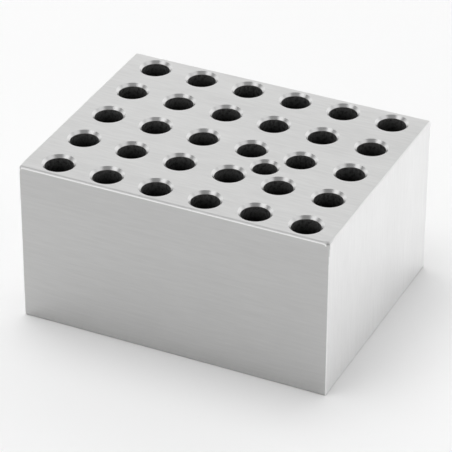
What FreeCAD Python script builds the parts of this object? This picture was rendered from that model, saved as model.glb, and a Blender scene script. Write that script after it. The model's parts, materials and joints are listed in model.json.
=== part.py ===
"""Heating block for small sample tubes, milled and drilled from one aluminium bar.

Millimetres, +Z up. The origin is the middle of the underside, and +X runs along the longest side.
"""

import FreeCAD, Part
import math
import os

import Sketcher

SIZES = {
    # The bar, with every outer edge rounded.
    "block_length": 95.0,
    "block_width": 73.3,
    "block_height": 50.1,
    "edge_radius": 0.45,
    # The grid of tube wells, and how far the axes of its outer wells are from the bar's sides.
    "well_columns": 6,
    "well_rows": 5,
    "end_margin": 9.6,
    "side_margin": 6.15,
    # A tube well: a straight wall, then a taper down to a small flat floor.
    "well_bore": 8.3,
    "well_straight": 14.0,
    "well_depth": 29.0,
    "well_floor": 3.4,
    # The probe well: a straight wall, then the cone that a drill leaves.
    "probe_bore": 7.0,
    "probe_straight": 36.0,
    "drill_point": 118.0,
    # The countersink at every mouth, as wide as it is deep.
    "sink_width": 0.8,
}

# Distance between the axes of neighbouring wells, along X and along Y.
COLUMN_PITCH = "(Sizes.block_length - 2 * Sizes.end_margin) / (Sizes.well_columns - 1)"
ROW_PITCH = "(Sizes.block_width - 2 * Sizes.side_margin) / (Sizes.well_rows - 1)"

# Half sections of the two kinds of well, as (radius, depth below the mouth) from the mouth's middle
# round to the axis again.
TUBE_WELL = [
    ("0", "0"),
    ("Sizes.well_bore / 2 + Sizes.sink_width", "0"),
    ("Sizes.well_bore / 2", "Sizes.sink_width"),
    ("Sizes.well_bore / 2", "Sizes.well_straight"),
    ("Sizes.well_floor / 2", "Sizes.well_depth"),
    ("0", "Sizes.well_depth"),
]
PROBE_TIP = "Sizes.probe_bore / 2 / tan(Sizes.drill_point / 2 * 1 deg)"
PROBE_WELL = [
    ("0", "0"),
    ("Sizes.probe_bore / 2 + Sizes.sink_width", "0"),
    ("Sizes.probe_bore / 2", "Sizes.sink_width"),
    ("Sizes.probe_bore / 2", "Sizes.probe_straight"),
    ("0", f"Sizes.probe_straight + {PROBE_TIP}"),
]

# How a sketch names its own axes, and the ends of a line.
H_AXIS, V_AXIS = -1, -2
START, END = 1, 2
ORIGIN = (H_AXIS, START)

VOLUME_TOLERANCE = 1e-6


def size_sheet(doc):
    """The driving sizes, one row each: a name and a plain number."""
    sheet = doc.addObject("Spreadsheet::Sheet", "Sizes")
    for row, (name, value) in enumerate(SIZES.items(), start=1):
        sheet.set(f"A{row}", name)
        sheet.set(f"B{row}", str(value))
        sheet.setAlias(f"B{row}", name)
    doc.recompute()
    return sheet


def number(sheet, formula):
    """The present value of a formula over the sizes."""
    return float(sheet.evalExpression(formula))


def origin_feature(body, role):
    return next(feature for feature in body.Origin.OriginFeatures if feature.Role == role)


def plane_sketch(body, name, plane):
    sketch = body.newObject("Sketcher::SketchObject", name)
    sketch.AttachmentSupport = [(origin_feature(body, plane), "")]
    sketch.MapMode = "FlatFace"
    return sketch


def closed_outline(sketch, points):
    """Straight lines from each point to the next and back to the first, joined at their ends."""
    for index, point in enumerate(points):
        following = points[(index + 1) % len(points)]
        sketch.addGeometry(Part.LineSegment(FreeCAD.Vector(*point, 0), FreeCAD.Vector(*following, 0)))
    for index in range(len(points)):
        following = (index + 1) % len(points)
        sketch.addConstraint(Sketcher.Constraint("Coincident", index, END, following, START))


def tie(sketch, sheet, direction, first, second, formula):
    """Sets the distance between two points, along X or Y, to a formula over the sizes."""
    value = number(sheet, formula)
    index = sketch.addConstraint(Sketcher.Constraint(direction, *first, *second, value))
    sketch.setExpression(f"Constraints[{index}]", formula)


def bar(body, sheet):
    """The plain bar: a rectangle centred on the origin, raised to the block's height, edges rounded."""
    outline = plane_sketch(body, "BarOutline", "XY_Plane")
    half_length = number(sheet, "Sizes.block_length / 2")
    half_width = number(sheet, "Sizes.block_width / 2")
    front, right, back, left = range(4)
    closed_outline(outline, [
        (-half_length, -half_width),
        (half_length, -half_width),
        (half_length, half_width),
        (-half_length, half_width),
    ])
    for side in (front, back):
        outline.addConstraint(Sketcher.Constraint("Horizontal", side))
    for side in (right, left):
        outline.addConstraint(Sketcher.Constraint("Vertical", side))
    outline.addConstraint(Sketcher.Constraint("Symmetric", front, START, back, START, *ORIGIN))
    tie(outline, sheet, "DistanceX", (front, START), (front, END), "Sizes.block_length")
    tie(outline, sheet, "DistanceY", (right, START), (right, END), "Sizes.block_width")

    raised = body.newObject("PartDesign::Pad", "Bar")
    raised.Profile = outline
    raised.setExpression("Length", "Sizes.block_height")
    body.Document.recompute()

    rounded = body.newObject("PartDesign::Fillet", "RoundedEdges")
    rounded.Base = (raised, [""])
    rounded.UseAllEdges = True
    rounded.setExpression("Radius", "Sizes.edge_radius")
    body.Document.recompute()
    return rounded


def well(body, sheet, name, section, x, y):
    """One well: its half section, upright at x and y under the top face, turned once about its axis."""
    sketch = plane_sketch(body, f"{name}Section", "XZ_Plane")
    # This plane's own third direction is -Y.
    sketch.setExpression("AttachmentOffset.Base.x", x)
    sketch.setExpression("AttachmentOffset.Base.y", "Sizes.block_height")
    sketch.setExpression("AttachmentOffset.Base.z", f"-({y})")
    closed_outline(sketch, [(number(sheet, radius), -number(sheet, depth)) for radius, depth in section])
    for corner, (radius, depth) in enumerate(section):
        if radius == "0":
            sketch.addConstraint(Sketcher.Constraint("PointOnObject", corner, START, V_AXIS))
        else:
            tie(sketch, sheet, "DistanceX", ORIGIN, (corner, START), radius)
        if depth == "0":
            sketch.addConstraint(Sketcher.Constraint("PointOnObject", corner, START, H_AXIS))
        else:
            tie(sketch, sheet, "DistanceY", (corner, START), ORIGIN, depth)

    turned = body.newObject("PartDesign::Groove", name)
    turned.Profile = sketch
    turned.ReferenceAxis = (sketch, ["V_Axis"])
    turned.Angle = 360
    body.Document.recompute()
    return turned


def well_grid(body, first_well):
    """The first well repeated along both sides of the bar, out to the same margin at the far sides."""
    grid = body.newObject("PartDesign::LinearPattern", "WellGrid")
    grid.Originals = [first_well]
    grid.Direction = (origin_feature(body, "X_Axis"), [""])
    grid.setExpression("Length", "Sizes.block_length - 2 * Sizes.end_margin")
    grid.setExpression("Occurrences", "Sizes.well_columns")
    grid.Direction2 = (origin_feature(body, "Y_Axis"), [""])
    grid.setExpression("Length2", "Sizes.block_width - 2 * Sizes.side_margin")
    grid.setExpression("Occurrences2", "Sizes.well_rows")
    body.Tip = grid
    body.Document.recompute()
    return grid


def heating_block(doc, sheet):
    """The whole block. The probe well stands midway between four tube wells, right of the middle."""
    body = doc.addObject("PartDesign::Body", "HeatingBlock")
    body.Label = "heating_block"
    blank = bar(body, sheet)
    first_well = well(
        body, sheet, "TubeWell", TUBE_WELL,
        x="Sizes.end_margin - Sizes.block_length / 2",
        y="Sizes.side_margin - Sizes.block_width / 2",
    )
    well_grid(body, first_well)
    well(body, sheet, "ProbeWell", PROBE_WELL, x=COLUMN_PITCH, y=f"-({ROW_PITCH}) / 2")
    check_volume(body, sheet, blank)
    return body


def section_volume(sheet, section):
    """Volume that a half section sweeps: a length of cone between each corner and the next."""
    corners = [(number(sheet, radius), number(sheet, depth)) for radius, depth in section]
    return sum(
        math.pi / 3 * (deeper - depth) * (radius ** 2 + radius * next_radius + next_radius ** 2)
        for (radius, depth), (next_radius, deeper) in zip(corners, corners[1:])
    )


def check_volume(body, sheet, blank):
    """Every well must have taken away just its own volume from the bar."""
    count = SIZES["well_columns"] * SIZES["well_rows"]
    expected = count * section_volume(sheet, TUBE_WELL) + section_volume(sheet, PROBE_WELL)
    removed = blank.Shape.Volume - body.Shape.Volume
    print(f"block {body.Shape.Volume:.1f} mm3, wells {removed:.1f} mm3, expected {expected:.1f} mm3")
    if abs(removed - expected) > VOLUME_TOLERANCE * expected:
        raise RuntimeError("the wells do not remove the volume that their sections sweep")


def check_objects(doc, nodes):
    """Stops if a feature failed or a finished piece is empty or not valid."""
    failed = [item.Name for item in doc.Objects if {"Invalid", "Error"} & set(item.State)]
    failed += [node.Label for node in nodes if node.Shape.isNull() or not node.Shape.isValid()]
    if failed:
        raise RuntimeError("failed: " + ", ".join(failed))


def main():
    doc = FreeCAD.newDocument("heating_block")
    sheet = size_sheet(doc)
    nodes = [heating_block(doc, sheet)]
    doc.recompute()
    check_objects(doc, nodes)
    os.makedirs("parts", exist_ok=True)
    for node in nodes:
        node.Shape.exportStep(f"parts/{node.Label}.step")


main()
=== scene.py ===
"""Looks of a heating block: an aluminium bar with drilled tube wells, on a pale studio floor.

Metres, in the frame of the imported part: +Z up, the origin under the middle of the block.
"""

import json
import math
from typing import NamedTuple

import bpy
import numpy as np
from bpy.props import FloatProperty, FloatVectorProperty, IntProperty, PointerProperty
from bpy.types import Operator, Panel, PropertyGroup
from mathutils import Matrix, Vector


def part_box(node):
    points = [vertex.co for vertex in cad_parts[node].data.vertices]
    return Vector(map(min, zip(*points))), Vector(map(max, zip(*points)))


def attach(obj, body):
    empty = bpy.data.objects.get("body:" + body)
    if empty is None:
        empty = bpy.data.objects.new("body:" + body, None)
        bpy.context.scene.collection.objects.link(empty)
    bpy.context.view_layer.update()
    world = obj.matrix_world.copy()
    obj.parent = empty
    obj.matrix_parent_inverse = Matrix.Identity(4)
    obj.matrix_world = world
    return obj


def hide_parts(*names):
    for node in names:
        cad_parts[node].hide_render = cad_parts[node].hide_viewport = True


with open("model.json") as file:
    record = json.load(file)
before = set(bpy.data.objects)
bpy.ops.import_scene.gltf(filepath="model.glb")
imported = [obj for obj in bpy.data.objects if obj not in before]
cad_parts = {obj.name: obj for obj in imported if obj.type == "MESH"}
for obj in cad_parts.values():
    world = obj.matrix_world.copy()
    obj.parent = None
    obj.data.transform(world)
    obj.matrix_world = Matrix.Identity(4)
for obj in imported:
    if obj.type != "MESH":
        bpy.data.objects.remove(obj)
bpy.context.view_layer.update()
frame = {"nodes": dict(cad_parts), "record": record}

bl_info = {
    "name": "Heating block",
    "version": (1, 0, 0),
    "blender": (4, 5, 0),
    "location": "View3D > Sidebar > Heating block",
    "description": "A drilled aluminium heating block with its studio light and camera",
    "category": "Add Mesh",
}

NODE = "heating_block"
PROBE = "probe_well"

LOW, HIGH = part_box(NODE)
HALF = np.array([HIGH.x - LOW.x, HIGH.y - LOW.y]) / 2
TOP, BOTTOM = HIGH.z, LOW.z

# The finishes, in the order of the block's material slots.
# Sides, ends and edges are the top's metal; their colours are painted shade, light and highlight.
MILLED_FACE, SHADED_SIDE, LIT_END, UPPER_EDGE, EDGE_HIGHLIGHT, TURNED_SINK, DRILLED_BORE = range(7)

# Map that the tool marks follow: flat on the faces, round and up on the sides, round and down in a well.
LAY_MAP = "lay"

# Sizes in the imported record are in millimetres.
MM_PER_M = 1000

# Points nearer than this are one vertex.
MERGE_STEP = 1e-7

# Wells whose axes agree to this many decimals share a column or row. A corner of a patch that is this near
# the probe well's axis makes room for its diamond.
AXIS_DECIMALS = 6
DIAMOND_SLACK = 1e-6

# A CAD point belongs to a well within this many bores of its axis, and to its floor within this height.
WELL_SLACK = 1.01
FLOOR_SLACK = 1e-5

# Rows of the mesh from a patch's outline to the mouth of its well, as shares of the way.
FLAT_ROWS = (0.0, 0.3, 0.65, 1.0)

# Where the painted highlight on a rounded edge starts, as shares of its quarter turn: down over the long
# sides, round to an end or down over it, and the latter where the edge is knocked.
LONG_EDGE_HIGHLIGHT, END_EDGE_HIGHLIGHT, KNOCKED_HIGHLIGHT = 0.6, 0.25, 0.7

# Height of the strip under a long side's edge that carries the painted highlight.
HIGHLIGHT_STRIP = 0.0003

# Share of its reach that a knocked corner has along the front.
FRONT_REACH = 0.25

# Rows down the block's sides, as multiples of the reach of the knocked corner, and under the block.
FIRST_WALL_ROW, LAST_WALL_ROW, WALL_ROWS = 0.2, 6.0, 7
UNDERSIDE_ROWS = 3

QUARTER_TURN = math.pi / 2


class Marks(NamedTuple):
    """Tool marks: how many per metre along U and V of the lay, their depth, and how far they vary the tone.

    The last value is how far the tool's broader passes vary it.
    """

    u: float
    v: float
    depth: float
    streak: float
    passes: float


FACE_MARKS = Marks(u=120, v=1300, depth=1.2e-6, streak=0.04, passes=0.03)
SIDE_MARKS = Marks(u=90, v=1300, depth=1.2e-6, streak=0.03, passes=0.02)
END_MARKS = Marks(u=1300, v=90, depth=1.2e-6, streak=0.03, passes=0.015)
EDGE_MARKS = Marks(u=120, v=900, depth=1e-6, streak=0.03, passes=0.0)
SINK_MARKS = Marks(u=0, v=7000, depth=3e-7, streak=0.03, passes=0.03)
BORE_MARKS = Marks(u=1100, v=900, depth=6e-6, streak=0.7, passes=0.15)

# Passes for each tool mark, the noise that both are made of, and its range that shows as marks.
PASS_SHARE = 1 / 16
NOISE_DETAIL, NOISE_ROUGHNESS = 4.0, 0.65
NOISE_RANGE = (0.25, 0.75)

# Depths between which painted shade darkens the tone of a drilled wall.
DEPTH_SHADE_FADE = (0.0005, 0.005)


class SoftLight(NamedTuple):
    """A round soft light: degrees round the block from the front, degrees above it, and its width.

    The last value says whether metal mirrors it. The large light would only be a white glare there.
    """

    azimuth: float
    elevation: float
    width: float
    mirrored: bool


SOFT_LIGHTS = {
    "top_light": SoftLight(azimuth=-94, elevation=78, width=4.0, mirrored=False),
    "right_light": SoftLight(azimuth=94, elevation=48, width=2.6, mirrored=True),
    "left_light": SoftLight(azimuth=-40, elevation=48, width=2.4, mirrored=True),
}
LIGHT_DISTANCE = 4.0

# The room's backdrop fades towards a pole that leans to the front, its horizon fades upwards, and its ceiling
# fades downwards. Each fade runs between two cosines of the angle to its pole.
BACKDROP_TURN = math.radians(12)
BACKDROP_LEAN = math.radians(35)
BACKDROP_FADE = (0.0, 0.6)
HORIZON_FADE = (0.0, 0.7)
CEILING_FADE = (-0.98, -0.86)

# Points along each side of the floor's mesh, and its paint.
FLOOR_POINTS = 9
FLOOR_ROUGHNESS = 0.9
FLOOR_SPECULAR = 0.1

# The camera's sensor in millimetres, and the nearest and furthest that it sees.
SENSOR_WIDTH = 36
CLIP_START, CLIP_END = 0.01, 100


class BlockShape(PropertyGroup):
    """Small roundings of the block, which the drilled sizes of the frame leave free."""

    edge_radius: FloatProperty(
        name="Edge radius", description="Rounding of every outer edge",
        default=0.00045, unit="LENGTH", precision=5)
    right_knock: FloatProperty(
        name="Right corner", description="Rounding at the top's front right corner, which has been knocked",
        default=0.0010, unit="LENGTH", precision=5)
    right_reach: FloatProperty(
        name="Right reach", description="Distance over which the front right corner's rounding fades",
        default=0.0030, unit="LENGTH", precision=5)
    left_knock: FloatProperty(
        name="Left corner", description="Rounding at the top's front left corner, which is a little worn",
        default=0.0007, unit="LENGTH", precision=5)
    left_reach: FloatProperty(
        name="Left reach", description="Distance over which the front left corner's rounding fades",
        default=0.0015, unit="LENGTH", precision=5)
    sink_radius: FloatProperty(
        name="Sink radius", description="Rounding between a countersink and its bore",
        default=0.00012, unit="LENGTH", precision=5)
    seat_radius: FloatProperty(
        name="Seat radius", description="Rounding where a bore turns into its tapered seat",
        default=0.004, unit="LENGTH", precision=5)
    floor_radius: FloatProperty(
        name="Floor radius", description="Rounding between the wall of a well and its floor",
        default=0.0005, unit="LENGTH", precision=5)
    row_height: FloatProperty(
        name="Row height", description="Longest step of the mesh down the wall of a well",
        default=0.006, unit="LENGTH", precision=5)
    side_steps: IntProperty(
        name="Side steps", description="Mesh steps along each side of a well's patch of the top face",
        default=18, min=4)
    arc_steps: IntProperty(
        name="Arc steps", description="Mesh steps round each rounding of a well", default=5, min=2)
    edge_steps: IntProperty(
        name="Edge steps", description="Mesh steps round each rounding of the outside", default=10, min=2)


class BlockFinish(PropertyGroup):
    """Colour and roughness of each machined surface."""

    face_colour: FloatVectorProperty(
        name="Faces", description="Colour of the milled top and underside", subtype="COLOR",
        default=(0.735, 0.735, 0.73))
    # The long sides are darker than the top as painted shade.
    shaded_side_colour: FloatVectorProperty(
        name="Sides", description="Colour of the long sides, darker than the top as painted shade", subtype="COLOR",
        default=(0.54, 0.54, 0.536))
    # The ends are lighter than the top as painted light.
    lit_end_colour: FloatVectorProperty(
        name="Ends", description="Colour of the milled ends", subtype="COLOR", default=(0.89, 0.89, 0.889))
    # The upper part of the long edges, above their painted highlight.
    upper_edge_colour: FloatVectorProperty(
        name="Upper edges", description="Colour of the upper half of the long edges", subtype="COLOR",
        default=(0.72, 0.72, 0.717))
    # A broken edge is smoother than the faces, and its lighter colour is a painted highlight.
    highlight_colour: FloatVectorProperty(
        name="Edge highlight", description="Colour of the broken edges", subtype="COLOR",
        default=(0.86, 0.86, 0.857))
    sink_colour: FloatVectorProperty(
        name="Countersinks", description="Colour of the turned countersinks", subtype="COLOR",
        default=(0.82, 0.82, 0.816))
    # The drilled walls are dark as painted shade inside the wells.
    shaded_bore_colour: FloatVectorProperty(
        name="Bores", description="Colour of the drilled walls", subtype="COLOR",
        default=(0.17, 0.17, 0.168))
    face_roughness: FloatProperty(
        name="Face roughness", description="Roughness of the top and underside",
        subtype="FACTOR", default=0.37)
    side_roughness: FloatProperty(
        name="Side roughness", description="Roughness of the long sides", subtype="FACTOR", default=0.42)
    end_roughness: FloatProperty(
        name="End roughness", description="Roughness of the milled ends", subtype="FACTOR", default=0.40)
    edge_roughness: FloatProperty(
        name="Edge roughness", description="Roughness of the broken edges", subtype="FACTOR", default=0.30)
    sink_roughness: FloatProperty(
        name="Sink roughness", description="Roughness of the turned countersinks",
        subtype="FACTOR", default=0.28)
    bore_roughness: FloatProperty(
        name="Bore roughness", description="Roughness of the drilled walls", subtype="FACTOR", default=0.50)
    bore_bareness: FloatProperty(
        name="Bore bareness", description="Share of the drilled walls that is bare, not dulled",
        subtype="FACTOR", default=0.25)
    # Painted shade: the drilled walls darken further with depth.
    depth_shade: FloatProperty(
        name="Depth shade", description="Share of its tone that a drilled wall keeps in the depth",
        subtype="FACTOR", default=0.1)


class StudioSetup(PropertyGroup):
    """Floor, light levels and camera."""

    floor_colour: FloatVectorProperty(
        name="Floor", description="Colour of the floor", subtype="COLOR", default=(0.95, 0.95, 0.95))
    floor_width: FloatProperty(
        name="Floor width", description="Width of the square floor", unit="LENGTH", default=4.0)
    room_level: FloatProperty(
        name="Room level", description="Brightness of the whole room", default=0.16)
    backdrop_level: FloatProperty(
        name="Backdrop level", description="What the room's back adds, which the top face shows",
        default=0.81)
    horizon_level: FloatProperty(
        name="Horizon level", description="What the room adds at the height of the block", default=0.51)
    ceiling_level: FloatProperty(
        name="Ceiling level", description="What the room adds straight above the block", default=0.7)
    top_light: FloatProperty(
        name="Top light", description="Power of the large light overhead", unit="POWER", default=86.0)
    right_light: FloatProperty(
        name="Right light", description="Power of the light high on the right", unit="POWER", default=10.5)
    left_light: FloatProperty(
        name="Left light", description="Power of the light on the left", unit="POWER", default=13.0)
    view_azimuth: FloatProperty(
        name="Azimuth", description="Camera's angle round the block from the front", subtype="ANGLE",
        default=math.radians(25.064))
    view_elevation: FloatProperty(
        name="Elevation", description="Camera's angle above the floor", subtype="ANGLE",
        default=math.radians(32.08))
    view_roll: FloatProperty(
        name="Roll", description="Camera's turn about its own line of sight", subtype="ANGLE",
        default=math.radians(0.2214))
    view_distance: FloatProperty(
        name="Distance", description="From the camera to the point it looks at", unit="LENGTH",
        default=0.80766)
    view_point: FloatVectorProperty(
        name="Look at", description="Point in the middle of the picture", subtype="XYZ", unit="LENGTH",
        default=(0.000227, -0.001311, 0.023003))
    lens: FloatProperty(
        name="Lens", description="Focal length on a 36 mm square sensor", unit="CAMERA", default=222.65)


def rounded_profile(corners, radii, steps):
    """A line through corners (radius, height), with an arc tangent to both runs at each inner corner.

    At a corner where the line turns by an angle d, the arc of radius r starts r tan(d / 2) before it. The
    direction turns evenly from the run before to the run after. Returns the points and, for each, the
    direction of travel turned a quarter to the right, which is the surface's normal.
    """
    corners = np.asarray(corners, float)
    runs = np.diff(corners, axis=0)
    headings = np.unwrap(np.arctan2(runs[:, 1], runs[:, 0]))
    points, angles = [corners[:1]], [headings[:1]]
    for corner, radius, before, after in zip(corners[1:-1], radii, headings, headings[1:]):
        turn = after - before
        heading = before + turn * np.linspace(0, 1, steps + 1)
        start = corner - abs(radius * math.tan(turn / 2)) * np.array([math.cos(before), math.sin(before)])
        swing = np.stack([np.sin(heading) - np.sin(before), np.cos(before) - np.cos(heading)], 1)
        points.append(start + math.copysign(radius, turn) * swing)
        angles.append(heading)
    points = np.concatenate([*points, corners[-1:]])
    angles = np.concatenate([*angles, headings[-1:]])
    return points, np.stack([np.sin(angles), -np.cos(angles)], 1)


def with_rows_between(points, normals, longest):
    """The same profile with even extra rows on every run that is longer than the given length."""
    runs = np.diff(points, axis=0)
    counts = np.maximum(1, np.ceil(np.linalg.norm(runs, axis=1) / longest).astype(int))
    run = np.repeat(np.arange(len(counts)), counts)
    share = (np.arange(len(run)) - np.repeat(np.cumsum(counts) - counts, counts)) / counts[run]
    more_points = points[run] + runs[run] * share[:, None]
    more_normals = np.where(share[:, None] > 0, normals[run + 1], normals[run])
    return np.concatenate([more_points, points[-1:]]), np.concatenate([more_normals, normals[-1:]])


class Well:
    """A well as the frame gives it: its axis, bore, countersink, straight wall and floor."""

    def __init__(self, mount, cad_points):
        x, y, z = mount["pos_m"]
        self.name = mount["name"]
        self.axis = np.array([x, y])
        self.bore = mount["dims"]["r_mm"] / MM_PER_M
        half_length = mount["dims"]["length_mm"] / (2 * MM_PER_M)
        self.sink = TOP - (z + half_length)
        self.straight_end = z - half_length
        self.mouth = self.bore + self.sink
        away = np.linalg.norm(cad_points[:, :2] - self.axis, axis=1)
        inside = away < self.bore * WELL_SLACK
        self.floor = cad_points[inside, 2].min()
        self.floor_bore = away[inside & (cad_points[:, 2] < self.floor + FLOOR_SLACK)].max()

    def profile(self, shape):
        """Half section from the mouth down the wall to the axis, as (radius, height) and normals.

        A well whose floor is no wider than the floor's rounding ends in a point.
        """
        corners = [
            (self.mouth, TOP),
            (self.bore, TOP - self.sink),
            (self.bore, self.straight_end),
            (self.floor_bore, self.floor),
        ]
        radii = [shape.sink_radius, shape.floor_radius]
        if self.floor_bore > shape.floor_radius:
            corners.append((0, self.floor))
            radii.insert(1, shape.seat_radius)
        return with_rows_between(*rounded_profile(corners, radii, shape.arc_steps), shape.row_height)


def drilled_wells():
    """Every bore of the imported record, with what the frame's mesh tells of its floor."""
    mesh = frame["nodes"][NODE].data
    cad_points = np.empty(len(mesh.vertices) * 3, np.float32)
    mesh.vertices.foreach_get("co", cad_points)
    cad_points = cad_points.reshape(-1, 3).astype(float)
    return [Well(mount, cad_points) for mount in frame["record"]["mounts"] if mount["kind"] == "bore"]


def knocked(points, depth, shape):
    """Points of the outline at the edge radius's inset, moved to the inset that the local rounding needs.

    The rounding is the edge radius plus an extra that falls off from each front corner as
    exp(-(d / reach) ** 2), with d the way along the sides and down. Returns the points and the roundings.
    """
    nominal = HALF - shape.edge_radius
    radius = shape.edge_radius
    knocks = ((1, shape.right_knock, shape.right_reach), (-1, shape.left_knock, shape.left_reach))
    for hand, knock, reach in knocks:
        along = np.abs(points - nominal * (hand, -1)) / (reach * FRONT_REACH, reach)
        away = along.sum(-1) ** 2 + (depth / reach) ** 2
        radius = radius + (knock - shape.edge_radius) * np.exp(-away)
    return points * (HALF - radius[..., None]) / nominal, radius


def borders_between(places, end):
    """Borders of the wells' patches along one axis: midway between wells, and the flat's two ends."""
    return np.concatenate([[-end], (places[1:] + places[:-1]) / 2, [end]])


def steps_between(corners, steps):
    """Steps along each run from one corner to the next, closer together near both, without the last corner.

    Step k of n lies at the share (1 - cos(pi k / n)) / 2 of the run.
    """
    corners = np.asarray(corners, float)
    share = (1 - np.cos(math.pi * np.arange(steps)[:, None] / steps)) / 2
    return (corners[:-1, None] + np.diff(corners, axis=0)[:, None] * share).reshape(-1, 2)


def patch_outline(well, columns, rows, probe, reach):
    """Corners of the patch of top face round a tube well, cut off where the probe well's diamond stands."""
    column = np.searchsorted(columns, well.axis[0]) - 1
    row = np.searchsorted(rows, well.axis[1]) - 1
    left, right = columns[column:column + 2]
    front, back = rows[row:row + 2]
    corners = []
    for x, y, turn in ((left, front, 1), (right, front, -1), (right, back, 1), (left, back, -1)):
        if np.hypot(x - probe.axis[0], y - probe.axis[1]) > DIAMOND_SLACK:
            corners.append((x, y))
            continue
        along = (x + math.copysign(reach, well.axis[0] - x), y)
        across = (x, y + math.copysign(reach, well.axis[1] - y))
        corners += [across, along][::turn]
    return corners


def well_patch(well, corners, shape):
    """The top face round one well and the well itself, as one grid of rows and spokes.

    Spokes run from the steps of the patch's outline to the mouth, with the spokes of each side spread evenly
    over the angle that the side fills. The first rows blend the outline into the mouth. The rest turn the
    half section about the axis.
    """
    ring = np.array([*corners, corners[0]])
    steps = np.append(steps_between(ring, shape.side_steps), ring[:1], axis=0)
    outline = knocked(steps, 0, shape)[0]
    away = ring - well.axis
    corner_angles = np.unwrap(np.arctan2(away[:, 1], away[:, 0]))
    angle = np.interp(np.arange(len(outline)), np.arange(len(ring)) * shape.side_steps, corner_angles)
    spoke = np.stack([np.cos(angle), np.sin(angle)], 1)

    section, section_normals = well.profile(shape)
    turned = well.axis + spoke * section[:, 0, None, None]
    flat = outline + (turned[0] - outline) * np.array(FLAT_ROWS)[:, None, None]
    places = np.concatenate([flat, turned])
    heights = np.concatenate([np.full(len(flat), TOP), section[:, 1]])
    points = np.dstack([places, np.broadcast_to(heights[:, None], places.shape[:2])])

    flat_normals = np.broadcast_to([0.0, 0.0, 1.0], (*flat.shape[:2], 3))
    turned_normals = np.dstack([
        spoke * section_normals[:, 0, None, None],
        np.broadcast_to(section_normals[:, 1, None], turned.shape[:2]),
    ])
    normals = np.concatenate([flat_normals, turned_normals])

    # Each well's marks start at another place, so that no two wells have the same rings.
    travel = np.concatenate([[0], np.cumsum(np.linalg.norm(np.diff(section, axis=0), axis=1))])
    wound = np.dstack(np.broadcast_arrays(angle * well.bore, travel[:, None] + well.axis.sum()))
    lay = np.concatenate([flat, wound])

    in_sink = section[1:, 1] > TOP - well.sink - shape.sink_radius
    row_finish = np.concatenate([
        np.full(len(flat), MILLED_FACE),
        np.where(in_sink, TURNED_SINK, DRILLED_BORE),
    ])
    finish = np.repeat(row_finish[:, None], len(outline) - 1, axis=1)
    return points, normals, lay, finish


def outline_path(columns, rows, shape):
    """The flat's outline, anticlockwise from the front left corner, with what the sides need at each point.

    The sides are stepped as the wells' patches are. At each corner the point stays and the outward angle
    turns. Returns the points, the outward angles, and for each step its turn from a long side, 0, to an
    end, 1.
    """
    left, right, front, back = columns[0], columns[-1], rows[0], rows[-1]
    sides = [
        [(x, front) for x in columns],
        [(right, y) for y in rows],
        [(x, back) for x in columns[::-1]],
        [(left, y) for y in rows[::-1]],
    ]
    share = np.arange(shape.edge_steps) / shape.edge_steps
    middle = share + 0.5 / shape.edge_steps
    places, facing, turn = [], [], []
    for number, side in enumerate(sides):
        is_end = number % 2
        steps = steps_between(side, shape.side_steps)
        outward = (number - 1) * QUARTER_TURN
        places += [steps, np.repeat([side[-1]], shape.edge_steps, axis=0)]
        facing += [np.full(len(steps), outward), outward + QUARTER_TURN * share]
        turn += [np.full(len(steps), float(is_end)), 1 - middle if is_end else middle]
    places.append([sides[0][0]])
    facing.append([3 * QUARTER_TURN])
    return [np.concatenate(parts) for parts in (places, facing, turn)]


def shell_finish(turn, knock, shape):
    """Finish of each quad of the block's sides, from its turn to an end and how far its edge is knocked."""
    # Painted shade on the long sides, painted light on the ends, and a painted highlight band on the edges.
    highlight_from = END_EDGE_HIGHLIGHT + (KNOCKED_HIGHLIGHT - END_EDGE_HIGHLIGHT) * knock
    side = np.where(turn < highlight_from, SHADED_SIDE, np.where(turn < 1, EDGE_HIGHLIGHT, LIT_END))
    down = (np.arange(shape.edge_steps)[:, None] + 0.5) / shape.edge_steps
    edge = side[:shape.edge_steps]
    over_end = np.where(down < highlight_from[:shape.edge_steps], MILLED_FACE, EDGE_HIGHLIGHT)
    over_long = np.where(down < LONG_EDGE_HIGHLIGHT, UPPER_EDGE, np.where(turn > 0, SHADED_SIDE, EDGE_HIGHLIGHT))
    edge = np.where(edge == SHADED_SIDE, over_long, over_end)
    # The strip under a long side's edge carries the painted highlight.
    strip = np.where(turn > 0, side[shape.edge_steps], EDGE_HIGHLIGHT)
    return np.concatenate([edge, [strip], side[shape.edge_steps + 1:]])


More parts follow.
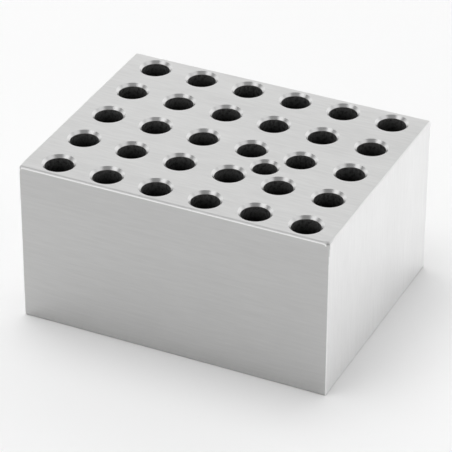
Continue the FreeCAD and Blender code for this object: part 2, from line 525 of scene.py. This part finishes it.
def shell_patch(columns, rows, shape):
    """The block's sides, rounded edges and underside, as one grid of rows and outline points.

    A profile is carried round the flat's outline: a quarter circle down, the wall, a quarter circle in, and
    the underside drawn in to its middle. With the local rounding r and the profile's tilt a, a point lies
    r sin(a) out from the outline and r cos(a) above or below the centre of the rounding.
    """
    places, facing, turn = outline_path(columns, rows, shape)
    ways = np.stack([np.cos(facing), np.sin(facing)], 1)
    quarter = np.linspace(0, QUARTER_TURN, shape.edge_steps + 1)[:, None]
    wall_depth = shape.right_reach * np.geomspace(FIRST_WALL_ROW, LAST_WALL_ROW, WALL_ROWS)[:, None]
    inset = np.linspace(1, 0, UNDERSIDE_ROWS + 1)[:, None]

    top_base, top_radius = knocked(places, 0, shape)
    strip_base, strip_radius = knocked(places, HIGHLIGHT_STRIP, shape)
    wall_base, wall_radius = knocked(places, wall_depth, shape)
    xy = np.concatenate([
        top_base + ways * (top_radius * np.sin(quarter))[..., None],
        [strip_base + ways * strip_radius[..., None]],
        wall_base + ways * wall_radius[..., None],
        places + ways * shape.edge_radius * np.cos(quarter)[..., None],
        places * inset[..., None],
    ])
    z = np.concatenate([
        TOP - top_radius * (1 - np.cos(quarter)),
        [TOP - top_radius - HIGHLIGHT_STRIP],
        np.repeat(TOP - shape.right_knock - wall_depth, len(places), axis=1),
        np.repeat(BOTTOM + shape.edge_radius * (1 - np.sin(quarter)), len(places), axis=1),
        np.full((len(inset), len(places)), BOTTOM),
    ])
    points = np.dstack([xy, z])

    tilt = np.concatenate([
        quarter,
        np.full((1 + WALL_ROWS, 1), QUARTER_TURN),
        quarter + QUARTER_TURN,
        np.full_like(inset, 2 * QUARTER_TURN),
    ])
    normals = np.dstack([
        ways * np.sin(tilt)[..., None],
        np.repeat(np.cos(tilt), len(places), axis=1),
    ])

    steps = np.linalg.norm(np.diff(places, axis=0), axis=1) + shape.edge_radius * np.diff(facing)
    around = np.concatenate([[0], np.cumsum(steps)])
    lay = np.dstack(np.broadcast_arrays(around, z))
    under = len(z) - len(inset)
    lay[under:] = xy[under:]

    radius = np.concatenate([np.repeat([top_radius], len(quarter), axis=0), [strip_radius], wall_radius])
    knock = np.zeros((len(z) - 1, len(turn)))
    knock[:len(radius)] = (radius[:, :-1] - shape.edge_radius) / (shape.right_knock - shape.edge_radius)
    finish = shell_finish(turn, knock, shape)
    finish[under:] = MILLED_FACE
    return points, normals, lay, finish


def grid_quads(rows, columns):
    """Corner numbers of a grid's quads."""
    number = np.arange(rows * columns).reshape(rows, columns)
    return np.stack([number[:-1, :-1], number[:-1, 1:], number[1:, 1:], number[1:, :-1]], -1).reshape(-1, 4)


def joined(patches):
    """All patches as flat arrays: points, normals, lay, quads and the finish of each quad."""
    starts = np.cumsum([0] + [points.shape[0] * points.shape[1] for points, *_ in patches])
    quads = [grid_quads(*points.shape[:2]) + start for (points, *_), start in zip(patches, starts)]
    flat = [np.concatenate([patch[k].reshape(-1, patch[k].shape[-1]) for patch in patches]) for k in range(3)]
    finish = np.concatenate([patch[3].ravel() for patch in patches])
    return *flat, np.concatenate(quads), finish


def closed_mesh(name, patches):
    """One mesh of the patches, whose equal points become one vertex and whose faces all look outwards."""
    points, normals, lay, quads, finish = joined(patches)
    across = np.cross(points[quads[:, 2]] - points[quads[:, 0]], points[quads[:, 3]] - points[quads[:, 1]])
    inward = (across * normals[quads].sum(axis=1)).sum(axis=1) < 0
    quads[inward] = quads[inward, ::-1]

    # A third of a step keeps round sizes off the borders between steps.
    keys = np.round(points / MERGE_STEP + 1 / 3).astype(np.int64)
    _, first, vertex = np.unique(keys, axis=0, return_index=True, return_inverse=True)
    vertex = vertex.ravel()
    corner = vertex[quads]
    kept = corner != np.roll(corner, -1, axis=1)
    whole = kept.sum(axis=1) > 2
    kept &= whole[:, None]
    counts = kept.sum(axis=1)[whole]
    loops = quads[kept]

    mesh = bpy.data.meshes.new(name)
    mesh.vertices.add(len(first))
    mesh.vertices.foreach_set("co", points[first].astype(np.float32).ravel())
    mesh.loops.add(len(loops))
    mesh.loops.foreach_set("vertex_index", vertex[loops].astype(np.int32))
    mesh.polygons.add(len(counts))
    mesh.polygons.foreach_set("loop_start", (np.cumsum(counts) - counts).astype(np.int32))
    mesh.polygons.foreach_set("material_index", finish[whole].astype(np.int32))
    mesh.polygons.foreach_set("use_smooth", np.ones(len(counts), bool))
    mesh.update(calc_edges=True)
    mesh.uv_layers.new(name=LAY_MAP).data.foreach_set("uv", lay[loops].astype(np.float32).ravel())
    mesh.normals_split_custom_set(normals[loops])
    mesh.validate()
    return mesh


def add_node(tree, kind, inputs=None, **settings):
    """A new node with these settings, whose inputs take a plain value or another node's output."""
    made = tree.nodes.new(kind)
    for name, value in settings.items():
        setattr(made, name, value)
    for key, value in (inputs or {}).items():
        if isinstance(value, bpy.types.NodeSocket):
            tree.links.new(value, made.inputs[key])
        else:
            made.inputs[key].default_value = value
    return made


def ranged(tree, value, from_range, to_range, **settings):
    """The value, carried from one range to another and held at its ends."""
    low, high = from_range
    new_low, new_high = to_range
    inputs = {"Value": value, "From Min": low, "From Max": high, "To Min": new_low, "To Max": new_high}
    return add_node(tree, "ShaderNodeMapRange", inputs, **settings).outputs["Result"]


def calculated(tree, operation, *values):
    """The result of a mathematical operation on these values."""
    return add_node(tree, "ShaderNodeMath", dict(enumerate(values)), operation=operation).outputs["Value"]


def stretched_noise(tree, lay, u, v):
    """Noise with this many waves per metre along U and V of the lay."""
    stretched = add_node(tree, "ShaderNodeMapping", {"Vector": lay, "Scale": (u, v, 1)}).outputs["Vector"]
    inputs = {"Vector": stretched, "Scale": 1.0, "Detail": NOISE_DETAIL, "Roughness": NOISE_ROUGHNESS}
    return add_node(tree, "ShaderNodeTexNoise", inputs, noise_dimensions="2D").outputs["Fac"]


def machined_metal(name, colour, roughness, marks, metallic=1.0, depth_shade=1.0):
    """Metal with fine tool marks along the cut and broader passes, in tone, roughness and relief.

    Painted shade darkens the tone, down to the share of itself that the last argument gives, over the first
    part of a well.
    """
    material = bpy.data.materials.new(name)
    material.use_nodes = True
    tree = material.node_tree
    tree.nodes.clear()
    lay = add_node(tree, "ShaderNodeUVMap", uv_map=LAY_MAP).outputs["UV"]
    fine = stretched_noise(tree, lay, marks.u, marks.v)
    broad = stretched_noise(tree, lay, marks.u * PASS_SHARE, marks.v * PASS_SHARE)
    streak = ranged(tree, fine, NOISE_RANGE, (-marks.streak, marks.streak))
    swath = ranged(tree, broad, NOISE_RANGE, (-marks.passes, marks.passes))
    change = calculated(tree, "ADD", streak, swath)

    # Painted shade: the tone falls with depth down a well.
    place = add_node(tree, "ShaderNodeTexCoord").outputs["Object"]
    height = add_node(tree, "ShaderNodeSeparateXYZ", {"Vector": place}).outputs["Z"]
    start, end = DEPTH_SHADE_FADE
    level = ranged(tree, height, (TOP - end, TOP - start), (depth_shade, 1.0))
    tone = calculated(tree, "MULTIPLY_ADD", change, level, level)
    base = add_node(tree, "ShaderNodeVectorMath", {"Vector": colour, "Scale": tone}, operation="SCALE")
    grain = calculated(tree, "MULTIPLY_ADD", change, -roughness, roughness)
    relief = add_node(tree, "ShaderNodeBump", {"Height": fine, "Strength": 1.0, "Distance": marks.depth})
    shader = add_node(tree, "ShaderNodeBsdfPrincipled", {
        "Base Color": base.outputs["Vector"], "Metallic": metallic,
        "Roughness": grain, "Normal": relief.outputs["Normal"]})
    add_node(tree, "ShaderNodeOutputMaterial", {"Surface": shader.outputs["BSDF"]})
    return material


def block_finishes(finish):
    """The machined surfaces, in the order of the block's material slots."""
    # Sides and ends carry painted shade and light, the edges a painted highlight, the bores painted shade.
    return [
        machined_metal("milled_face", finish.face_colour, finish.face_roughness, FACE_MARKS),
        machined_metal("bar_side", finish.shaded_side_colour, finish.side_roughness, SIDE_MARKS),
        machined_metal("milled_end", finish.lit_end_colour, finish.end_roughness, END_MARKS),
        machined_metal("dull_edge", finish.upper_edge_colour, finish.edge_roughness, EDGE_MARKS),
        machined_metal("bright_edge", finish.highlight_colour, finish.edge_roughness, EDGE_MARKS),
        machined_metal("turned_countersink", finish.sink_colour, finish.sink_roughness, SINK_MARKS),
        machined_metal(
            "drilled_bore", finish.shaded_bore_colour, finish.bore_roughness, BORE_MARKS, finish.bore_bareness,
            finish.depth_shade),
    ]


class MESH_OT_heating_block_add(Operator):
    """Add the drilled block over its node of the frame"""

    bl_idname = "mesh.heating_block_add"
    bl_label = "Add heating block"

    def execute(self, context):
        shape = context.scene.heating_block_shape
        wells = drilled_wells()
        probe = next(well for well in wells if well.name == PROBE)
        tubes = [well for well in wells if well is not probe]
        ends = HALF - shape.edge_radius
        axes = np.array([well.axis for well in tubes]).round(AXIS_DECIMALS)
        columns = borders_between(np.unique(axes[:, 0]), ends[0])
        rows = borders_between(np.unique(axes[:, 1]), ends[1])

        # The probe well's diamond meets its neighbours midway between the mouths.
        nearest = min(np.linalg.norm(well.axis - probe.axis) - well.mouth for well in tubes)
        reach = (nearest + probe.mouth) / 2 * math.sqrt(2)
        diamond = [tuple(probe.axis + reach * np.array(way)) for way in ((1, 0), (0, 1), (-1, 0), (0, -1))]

        patches = [well_patch(w, patch_outline(w, columns, rows, probe, reach), shape) for w in tubes]
        patches.append(well_patch(probe, diamond, shape))
        patches.append(shell_patch(columns, rows, shape))
        mesh = closed_mesh("machined_block", patches)
        for material in block_finishes(context.scene.heating_block_finish):
            mesh.materials.append(material)
        block = bpy.data.objects.new("machined_block", mesh)
        context.scene.collection.objects.link(block)
        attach(block, "root")
        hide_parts(NODE)
        return {"FINISHED"}


def direction(azimuth, elevation):
    """Unit vector towards a place at this angle round the block from the front, and above the floor."""
    level = math.cos(elevation)
    return Vector((math.sin(azimuth) * level, -math.cos(azimuth) * level, math.sin(elevation)))


def studio_floor(setup):
    """A large square sheet under the block, as a grid of two parameters, in a plain pale matt paint."""
    span = np.linspace(-setup.floor_width / 2, setup.floor_width / 2, FLOOR_POINTS)
    x, y = np.meshgrid(span, span)
    points = np.stack([x, y, np.full_like(x, BOTTOM)], -1).reshape(-1, 3)
    mesh = bpy.data.meshes.new("studio_floor")
    mesh.from_pydata(points.tolist(), [], grid_quads(FLOOR_POINTS, FLOOR_POINTS).tolist())
    material = bpy.data.materials.new("studio_floor")
    material.use_nodes = True
    shader = material.node_tree.nodes["Principled BSDF"]
    shader.inputs["Base Color"].default_value = (*setup.floor_colour, 1)
    shader.inputs["Roughness"].default_value = FLOOR_ROUGHNESS
    shader.inputs["Specular IOR Level"].default_value = FLOOR_SPECULAR
    mesh.materials.append(material)
    floor = bpy.data.objects.new("studio_floor", mesh)
    bpy.context.scene.collection.objects.link(floor)


def soft_lamp(name, light, power):
    """A round area light that faces the block's middle and stays out of the camera's sight."""
    data = bpy.data.lights.new(name, "AREA")
    data.shape = "DISK"
    data.size = light.width
    data.energy = power
    lamp = bpy.data.objects.new(name, data)
    way = direction(math.radians(light.azimuth), math.radians(light.elevation))
    lamp.location = Vector((0, 0, (TOP + BOTTOM) / 2)) + way * LIGHT_DISTANCE
    lamp.rotation_euler = way.to_track_quat("Z", "Y").to_euler()
    lamp.visible_camera = False
    lamp.visible_glossy = light.mirrored
    bpy.context.scene.collection.objects.link(lamp)


def faded_level(tree, way, pole, fade, level):
    """Brightness that falls from a level to nothing as the direction turns to the pole."""
    part = add_node(tree, "ShaderNodeVectorMath", {0: way, 1: pole}, operation="DOT_PRODUCT").outputs["Value"]
    return ranged(tree, part, fade, (level, 0.0), interpolation_type="SMOOTHSTEP")


def studio_dome(setup):
    """The room's own light: a bright backdrop, horizon and ceiling, and darker high in front."""
    world = bpy.data.worlds.new("studio_dome")
    world.use_nodes = True
    tree = world.node_tree
    tree.nodes.clear()
    way = add_node(tree, "ShaderNodeTexCoord").outputs["Generated"]
    dark_pole = direction(BACKDROP_TURN, QUARTER_TURN - BACKDROP_LEAN)
    backdrop = faded_level(tree, way, dark_pole, BACKDROP_FADE, setup.backdrop_level)
    horizon = faded_level(tree, way, Vector((0, 0, 1)), HORIZON_FADE, setup.horizon_level)
    ceiling = faded_level(tree, way, Vector((0, 0, -1)), CEILING_FADE, setup.ceiling_level)
    sides = calculated(tree, "MAXIMUM", backdrop, horizon)
    level = calculated(tree, "ADD", calculated(tree, "MAXIMUM", sides, ceiling), setup.room_level)
    room = add_node(tree, "ShaderNodeBackground", {"Color": (1, 1, 1, 1), "Strength": level})
    add_node(tree, "ShaderNodeOutputWorld", {"Surface": room.outputs["Background"]})
    bpy.context.scene.world = world


def studio_camera(setup):
    """A long lens that looks at the block from above its front right corner."""
    data = bpy.data.cameras.new("studio_camera")
    data.sensor_width = SENSOR_WIDTH
    data.lens = setup.lens
    data.clip_start = CLIP_START
    data.clip_end = CLIP_END
    camera = bpy.data.objects.new("studio_camera", data)
    back = direction(setup.view_azimuth, setup.view_elevation)
    turn = (-back).to_track_quat("-Z", "Y").to_matrix().to_4x4()
    place = Matrix.Translation(Vector(setup.view_point) + back * setup.view_distance)
    camera.matrix_world = place @ turn @ Matrix.Rotation(setup.view_roll, 4, "Z")
    bpy.context.scene.collection.objects.link(camera)
    bpy.context.scene.camera = camera


class SCENE_OT_heating_block_stage(Operator):
    """Set up the floor, the soft lights and the camera round the block"""

    bl_idname = "scene.heating_block_stage"
    bl_label = "Set up studio"

    def execute(self, context):
        setup = context.scene.heating_block_studio
        context.scene.view_settings.view_transform = "Standard"
        studio_floor(setup)
        studio_dome(setup)
        for name, light in SOFT_LIGHTS.items():
            soft_lamp(name, light, getattr(setup, name))
        studio_camera(setup)
        return {"FINISHED"}


class VIEW3D_PT_heating_block(Panel):
    """Sizes, finishes and studio of the block, with the operators that make them"""

    bl_label = "Heating block"
    bl_space_type = "VIEW_3D"
    bl_region_type = "UI"
    bl_category = "Heating block"

    def draw(self, context):
        scene = context.scene
        for group in (scene.heating_block_shape, scene.heating_block_finish, scene.heating_block_studio):
            box = self.layout.box()
            for name in group.__annotations__:
                box.prop(group, name)
        self.layout.operator(MESH_OT_heating_block_add.bl_idname)
        self.layout.operator(SCENE_OT_heating_block_stage.bl_idname)


CLASSES = (
    BlockShape,
    BlockFinish,
    StudioSetup,
    MESH_OT_heating_block_add,
    SCENE_OT_heating_block_stage,
    VIEW3D_PT_heating_block,
)


def register():
    """Register the classes and give the scene its settings."""
    for cls in CLASSES:
        bpy.utils.register_class(cls)
    bpy.types.Scene.heating_block_shape = PointerProperty(type=BlockShape)
    bpy.types.Scene.heating_block_finish = PointerProperty(type=BlockFinish)
    bpy.types.Scene.heating_block_studio = PointerProperty(type=StudioSetup)


def unregister():
    """Take the settings and the classes away again."""
    del bpy.types.Scene.heating_block_studio
    del bpy.types.Scene.heating_block_finish
    del bpy.types.Scene.heating_block_shape
    for cls in reversed(CLASSES):
        bpy.utils.unregister_class(cls)


def main():
    """Make the block and its studio."""
    register()
    bpy.ops.mesh.heating_block_add()
    bpy.ops.scene.heating_block_stage()


if __name__ == "__main__":
    main()
